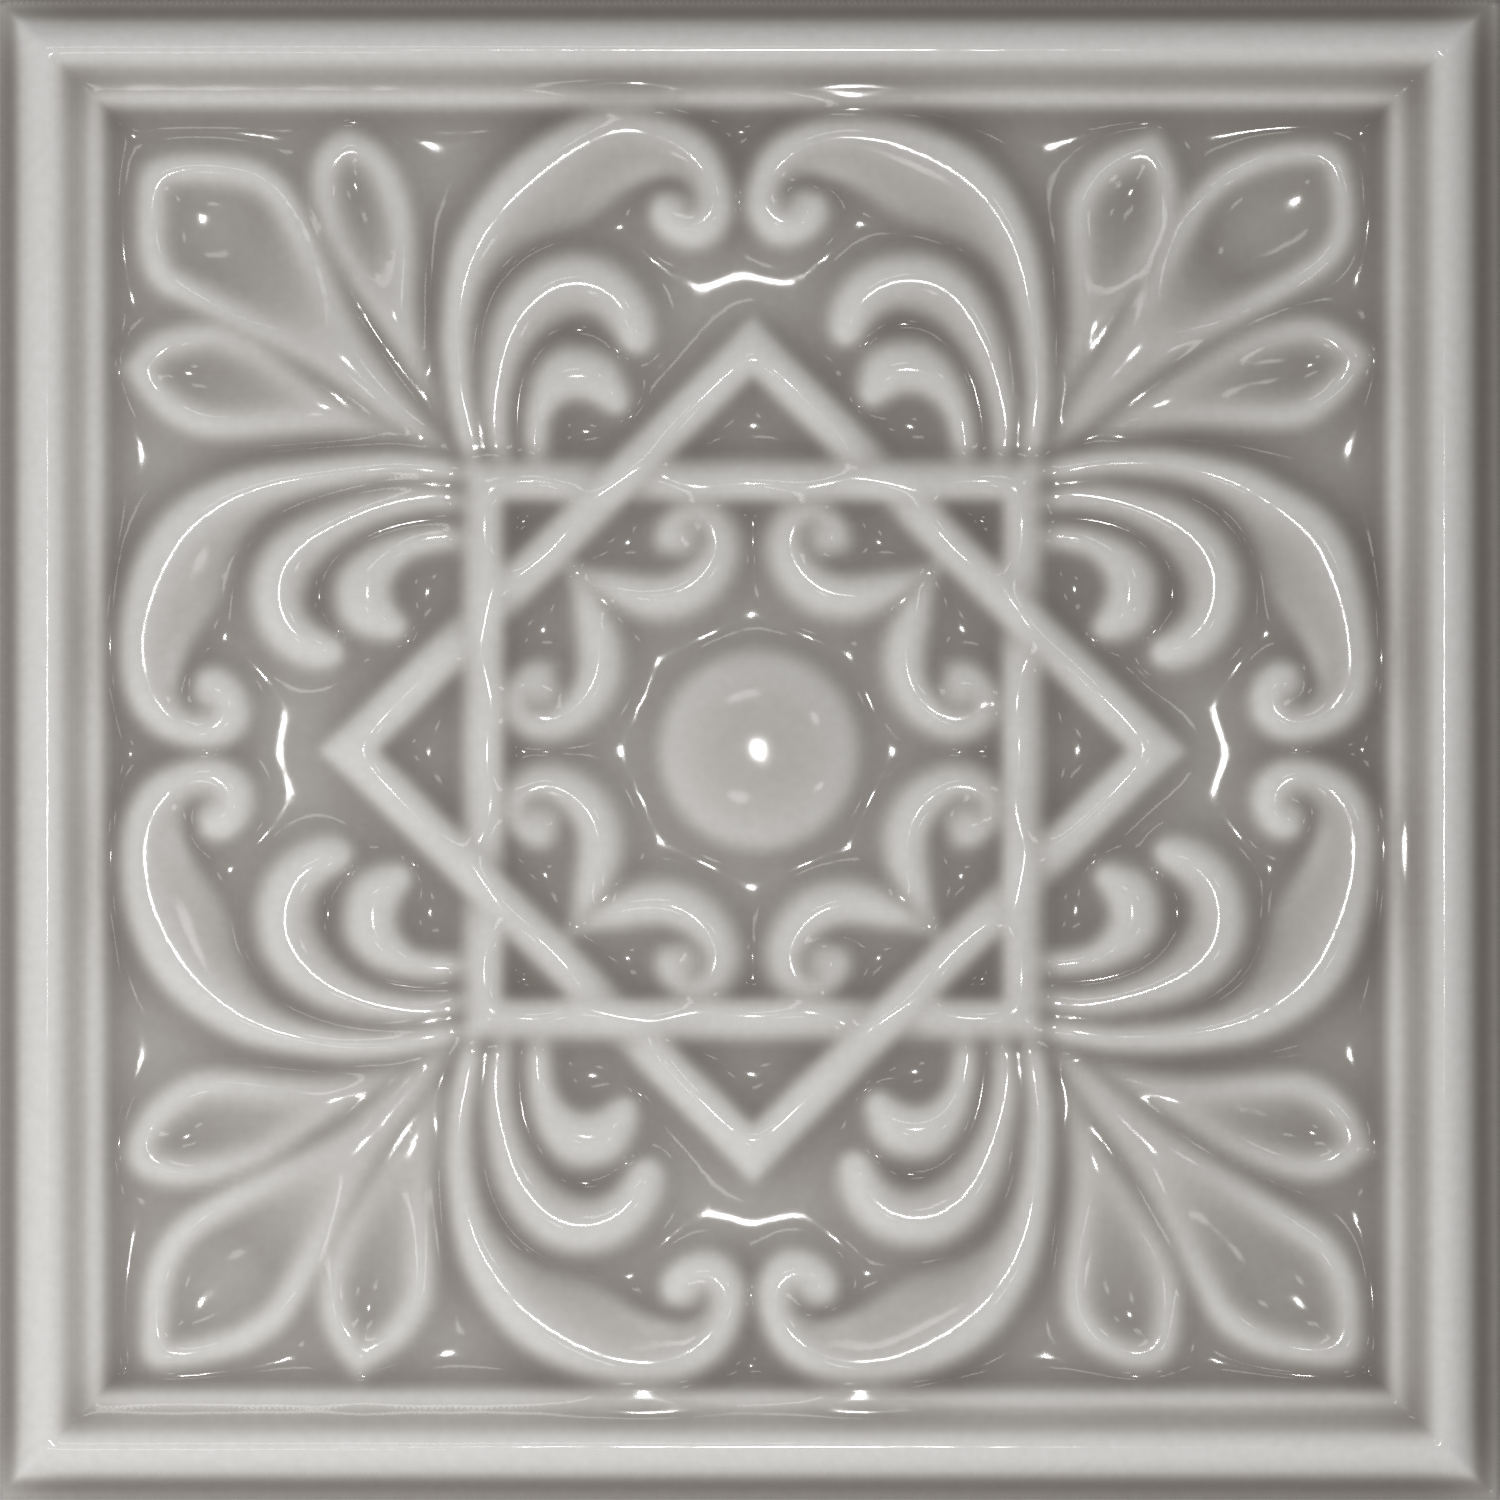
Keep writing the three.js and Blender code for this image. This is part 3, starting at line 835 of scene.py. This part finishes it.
# %% [markdown]
# ## Pouring the glaze with Geometry Nodes
# The slab still lies flat. A node tree pours the glaze: it lifts every vertex to its level, works out
# how deep the glaze lies there, and gives the faces above the glaze line their glaze and the rest their
# biscuit. The melt's own level follows the wide map only in part, and it never thins to nothing: a
# soft floor keeps a skin of glaze on the sharpest crest. Painted shade is added to that depth: it grows
# evenly towards the top right, so that corner comes out darker, while the surface stays as it is. As a
# tree, the coat can be poured thicker or thinner by one input, without a new slab.

# %% Build the pouring tree
coat = 0.64
levelling = 1.0
skin = 0.3
# Painted shade: the depth used for the colour grows evenly towards the top right, so that corner is
# darker; the surface itself does not tilt.
painted_shade_tilt = (0.002, 0.0007, 0.0)
glaze_line = 1.9


def pouring_tree():
    tree = bpy.data.node_groups.new("pour_glaze", "GeometryNodeTree")
    panel = tree.interface
    panel.new_socket("Slab", in_out="INPUT", socket_type="NodeSocketGeometry")
    for name in ("Coat", "Levelling", "Skin", "Glaze line"):
        panel.new_socket(name, in_out="INPUT", socket_type="NodeSocketFloat")
    panel.new_socket("Painted shade tilt", in_out="INPUT", socket_type="NodeSocketVector")
    for name in ("Glaze", "Biscuit"):
        panel.new_socket(name, in_out="INPUT", socket_type="NodeSocketMaterial")
    panel.new_socket("Tile", in_out="OUTPUT", socket_type="NodeSocketGeometry")
    given = tree.nodes.new("NodeGroupInput").outputs
    result = tree.nodes.new("NodeGroupOutput")

    def attribute(name):
        made = node(tree, "GeometryNodeInputNamedAttribute", data_type="FLOAT")
        made.inputs["Name"].default_value = name
        return made.outputs[0]

    position = node(tree, "GeometryNodeInputPosition")
    split = node(tree, "ShaderNodeSeparateXYZ")
    tree.links.new(position.outputs[0], split.inputs[0])
    lifted = node(tree, "ShaderNodeCombineXYZ")
    tree.links.new(split.outputs[0], lifted.inputs[0])
    tree.links.new(split.outputs[1], lifted.inputs[1])
    tree.links.new(attribute("level"), lifted.inputs[2])
    metres = node(tree, "ShaderNodeVectorMath", operation="SCALE")
    metres.inputs["Scale"].default_value = MM
    tree.links.new(lifted.outputs[0], metres.inputs[0])

    # Painted shade: a depth that grows evenly across the tile darkens the top right.
    painted_tilt = node(tree, "ShaderNodeVectorMath", operation="DOT_PRODUCT")
    tree.links.new(position.outputs[0], painted_tilt.inputs[0])
    tree.links.new(given["Painted shade tilt"], painted_tilt.inputs[1])
    poured = math_node(tree, "ADD", painted_tilt.outputs["Value"], given["Coat"])
    spread_out = math_node(tree, "MULTIPLY", attribute("wide"), given["Levelling"])
    level = math_node(tree, "ADD", spread_out, poured)
    pooled = math_node(tree, "SUBTRACT", level, attribute("near"))
    power = node(tree, "ShaderNodeMath", operation="EXPONENT")
    tree.links.new(math_node(tree, "DIVIDE", pooled, given["Skin"]), power.inputs[0])
    raised = math_node(tree, "ADD", power.outputs[0], 1.0)
    rounded = math_node(tree, "LOGARITHM", raised, math.e)
    store = node(tree, "GeometryNodeStoreNamedAttribute", data_type="FLOAT", domain="POINT")
    store.inputs["Name"].default_value = "glaze_depth_and_painted_shade"
    tree.links.new(given["Slab"], store.inputs["Geometry"])
    tree.links.new(math_node(tree, "MULTIPLY", rounded, given["Skin"]), store.inputs["Value"])
    lift = node(tree, "GeometryNodeSetPosition")
    tree.links.new(store.outputs[0], lift.inputs["Geometry"])
    tree.links.new(metres.outputs[0], lift.inputs["Position"])

    realize = node(tree, "GeometryNodeRealizeInstances")
    tree.links.new(lift.outputs[0], realize.inputs[0])
    bare = node(tree, "GeometryNodeSetMaterial")
    tree.links.new(realize.outputs[0], bare.inputs["Geometry"])
    tree.links.new(given["Biscuit"], bare.inputs["Material"])
    coated = node(tree, "GeometryNodeSetMaterial")
    tree.links.new(bare.outputs[0], coated.inputs["Geometry"])
    tree.links.new(given["Glaze"], coated.inputs["Material"])
    above = node(tree, "FunctionNodeCompare", data_type="FLOAT", operation="GREATER_THAN")
    tree.links.new(attribute("level"), above.inputs[0])
    tree.links.new(given["Glaze line"], above.inputs[1])
    tree.links.new(above.outputs[0], coated.inputs["Selection"])
    tree.links.new(coated.outputs[0], result.inputs[0])
    return tree


tree = pouring_tree()
print("pouring tree:", len(tree.nodes), "nodes")

# %% Pour, and keep the plain mesh
slab_object = bpy.data.objects.new("slab", slab)
bpy.context.scene.collection.objects.link(slab_object)
pour = slab_object.modifiers.new("pour", "NODES")
pour.node_group = tree
settings = {
    "Coat": coat, "Levelling": levelling, "Skin": skin, "Painted shade tilt": painted_shade_tilt,
    "Glaze line": glaze_line, "Glaze": glaze, "Biscuit": biscuit,
}
for item in tree.interface.items_tree:
    if item.item_type == "SOCKET" and item.in_out == "INPUT" and item.name in settings:
        pour[item.identifier] = settings[item.name]
evaluated = slab_object.evaluated_get(bpy.context.evaluated_depsgraph_get())
tile_mesh = bpy.data.meshes.new_from_object(evaluated)
bpy.data.objects.remove(slab_object)

bm = bmesh.new()
bm.from_mesh(tile_mesh)
bmesh.ops.recalc_face_normals(bm, faces=bm.faces)
bmesh.ops.triangulate(bm, faces=[face for face in bm.faces if len(face.verts) > 3])
bm.to_mesh(tile_mesh)
bm.free()
for name in maps:
    tile_mesh.attributes.remove(tile_mesh.attributes[name])
tile_mesh.name = "glazed_tile"
tile = bpy.data.objects.new("glazed_tile", tile_mesh)
bpy.context.scene.collection.objects.link(tile)
print("tile:", len(tile_mesh.polygons), "triangles,", [m.name for m in tile_mesh.materials])

# %% Hand the tile to the frame
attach(tile, "root")
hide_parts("tile")
print("tile rides the root and stands for the CAD solid")

# %% [markdown]
# ## The floor
# The tile lies on a plain pale floor, flat on its back, as it lay when it was photographed.

# %% Lay the floor
floor_reach = 4.0
floor_mesh = bpy.data.meshes.new("floor")
floor_corners = [(-1, -1), (1, -1), (1, 1), (-1, 1)]
floor_points = [(cx * floor_reach, cy * floor_reach, 0) for cx, cy in floor_corners]
floor_mesh.from_pydata(floor_points, [], [(0, 1, 2, 3)])
floor = bpy.data.objects.new("floor", floor_mesh)
bpy.context.scene.collection.objects.link(floor)
paper = bpy.data.materials.new("pale_floor")
paper.use_nodes = True
paper_shader = paper.node_tree.nodes["Principled BSDF"]
paper_shader.inputs["Base Color"].default_value = (0.75, 0.75, 0.74, 1)
paper_shader.inputs["Roughness"].default_value = 0.9
floor_mesh.materials.append(paper)
print("floor:", 2 * floor_reach, "m square")

# %% [markdown]
# ## Studio light
# Glossy glaze is lit twice over. The soft light that shows its greys comes from all round, a little
# more from the lower left. The sparkle comes from small lamps high above: one bright disc close to the
# camera, one box lamp and three faint ones. Each highlight in the picture is a mirror image of one of
# them. The soft fill is kept out of the mirror, or it would wash the highlights out.

# %% Hang the lamps
world = bpy.data.worlds.new("studio")
world.use_nodes = True
backdrop = world.node_tree.nodes["Background"]
backdrop.inputs["Color"].default_value = (1, 1, 1, 1)
backdrop.inputs["Strength"].default_value = 0.3
bpy.context.scene.world = world
lamp_height = 1.5


def lamp(name, place, size, radiance, shape="DISK"):
    """An area lamp aimed at the tile. Its power follows from its size and its brightness."""
    data = bpy.data.lights.new(name, "AREA")
    data.shape = shape
    data.size, data.size_y = size
    area = size[0] * size[1] * (math.pi / 4 if shape == "DISK" else 1)
    data.energy = math.pi * radiance * area
    made = bpy.data.objects.new(name, data)
    made.location = place
    made.rotation_euler = (-Vector(place)).to_track_quat("-Z", "Y").to_euler()
    made.visible_camera = False
    bpy.context.scene.collection.objects.link(made)
    return made


lamp("key", (0.004, 0.003, lamp_height), size=(0.055, 0.055), radiance=120)
lamp("box", (-0.1, 0.346, lamp_height), size=(0.23, 0.08), radiance=3.5, shape="RECTANGLE")
spot_places = [(0.47, -0.30), (0.40, 0.22), (-0.12, -0.28)]
for spot, (spot_x, spot_y) in enumerate(spot_places):
    lamp(f"spot_{spot}", (spot_x, spot_y, lamp_height), size=(0.1, 0.1), radiance=4)
fill = lamp("fill", (-0.12, -0.12, 0.38), size=(0.3, 0.3), radiance=4.1, shape="SQUARE")
fill.visible_glossy = False

# %% [markdown]
# ## The camera
# The photo looks straight down and shows the tile from edge to edge. The camera stands well above, and
# its lens follows from the tile's width and from the camera's distance to the brim, between the foot
# of the frame and its crest.

# %% Set up the camera
camera_height = 1.4
brim_height = 7.5 * MM
camera_data = bpy.data.cameras.new("camera")
camera_data.sensor_width = 36
camera_data.lens = camera_data.sensor_width * (camera_height - brim_height) / (tile_side * MM)
camera = bpy.data.objects.new("camera", camera_data)
camera.location = (0, 0, camera_height)
bpy.context.scene.collection.objects.link(camera)
bpy.context.scene.camera = camera
bpy.context.scene.view_settings.view_transform = "Standard"
print("lens:", round(camera_data.lens, 1), "mm")
